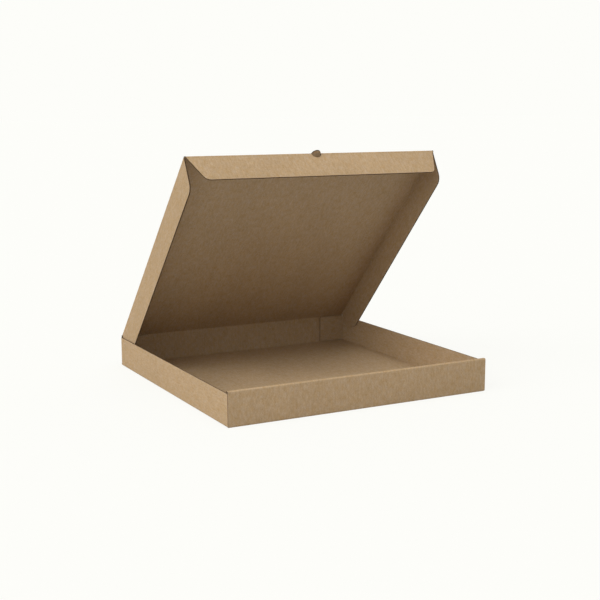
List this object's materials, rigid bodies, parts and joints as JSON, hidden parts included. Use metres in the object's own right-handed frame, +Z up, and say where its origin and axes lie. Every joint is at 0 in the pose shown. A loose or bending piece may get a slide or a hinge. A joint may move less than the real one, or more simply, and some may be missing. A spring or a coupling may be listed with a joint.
{
  "type": "folding pizza box",
  "caption": "Low square folding box of brown corrugated board, with a locked rolled front wall and a hinged lid whose mitred flaps tuck inside the tray.",
  "frame": {"origin": "centre of the tray's underside, on the surface that the box stands on", "axes": "+X to the box's right as seen from the front, +Y from the front wall to the hinge side, +Z up"},
  "size_m": [0.33, 0.331, 0.2798],
  "materials": {
    "board": "matt brown kraft liner"
  },
  "bodies": {
    "tray": {"tray": "board"},
    "lid": {"lid": "board"},
    "front_flap": {"lid_front_flap": "board"},
    "left_flap": {"lid_left_flap": "board"},
    "right_flap": {"lid_right_flap": "board"}
  },
  "joints": [
    {"name": "lid_hinge", "type": "hinge", "parent": "tray", "child": "lid", "pos_m": [0, 0.16475, 0.0371], "axis": [-1, 0, 0], "range_deg": [-46.95, 132.5]},
    {"name": "front_flap_crease", "type": "hinge", "parent": "lid", "child": "front_flap", "pos_m": [0, -0.05324, 0.27499], "axis": [-1, 0, 0], "range_deg": [-15, 90]},
    {"name": "left_flap_crease", "type": "hinge", "parent": "lid", "child": "left_flap", "pos_m": [-0.16245, 0.05576, 0.15605], "axis": [0, -0.6756, 0.7373], "range_deg": [0, 45]},
    {"name": "right_flap_crease", "type": "hinge", "parent": "lid", "child": "right_flap", "pos_m": [0.16245, 0.05576, 0.15605], "axis": [0, 0.6756, -0.7373], "range_deg": [0, 45]}
  ]
}
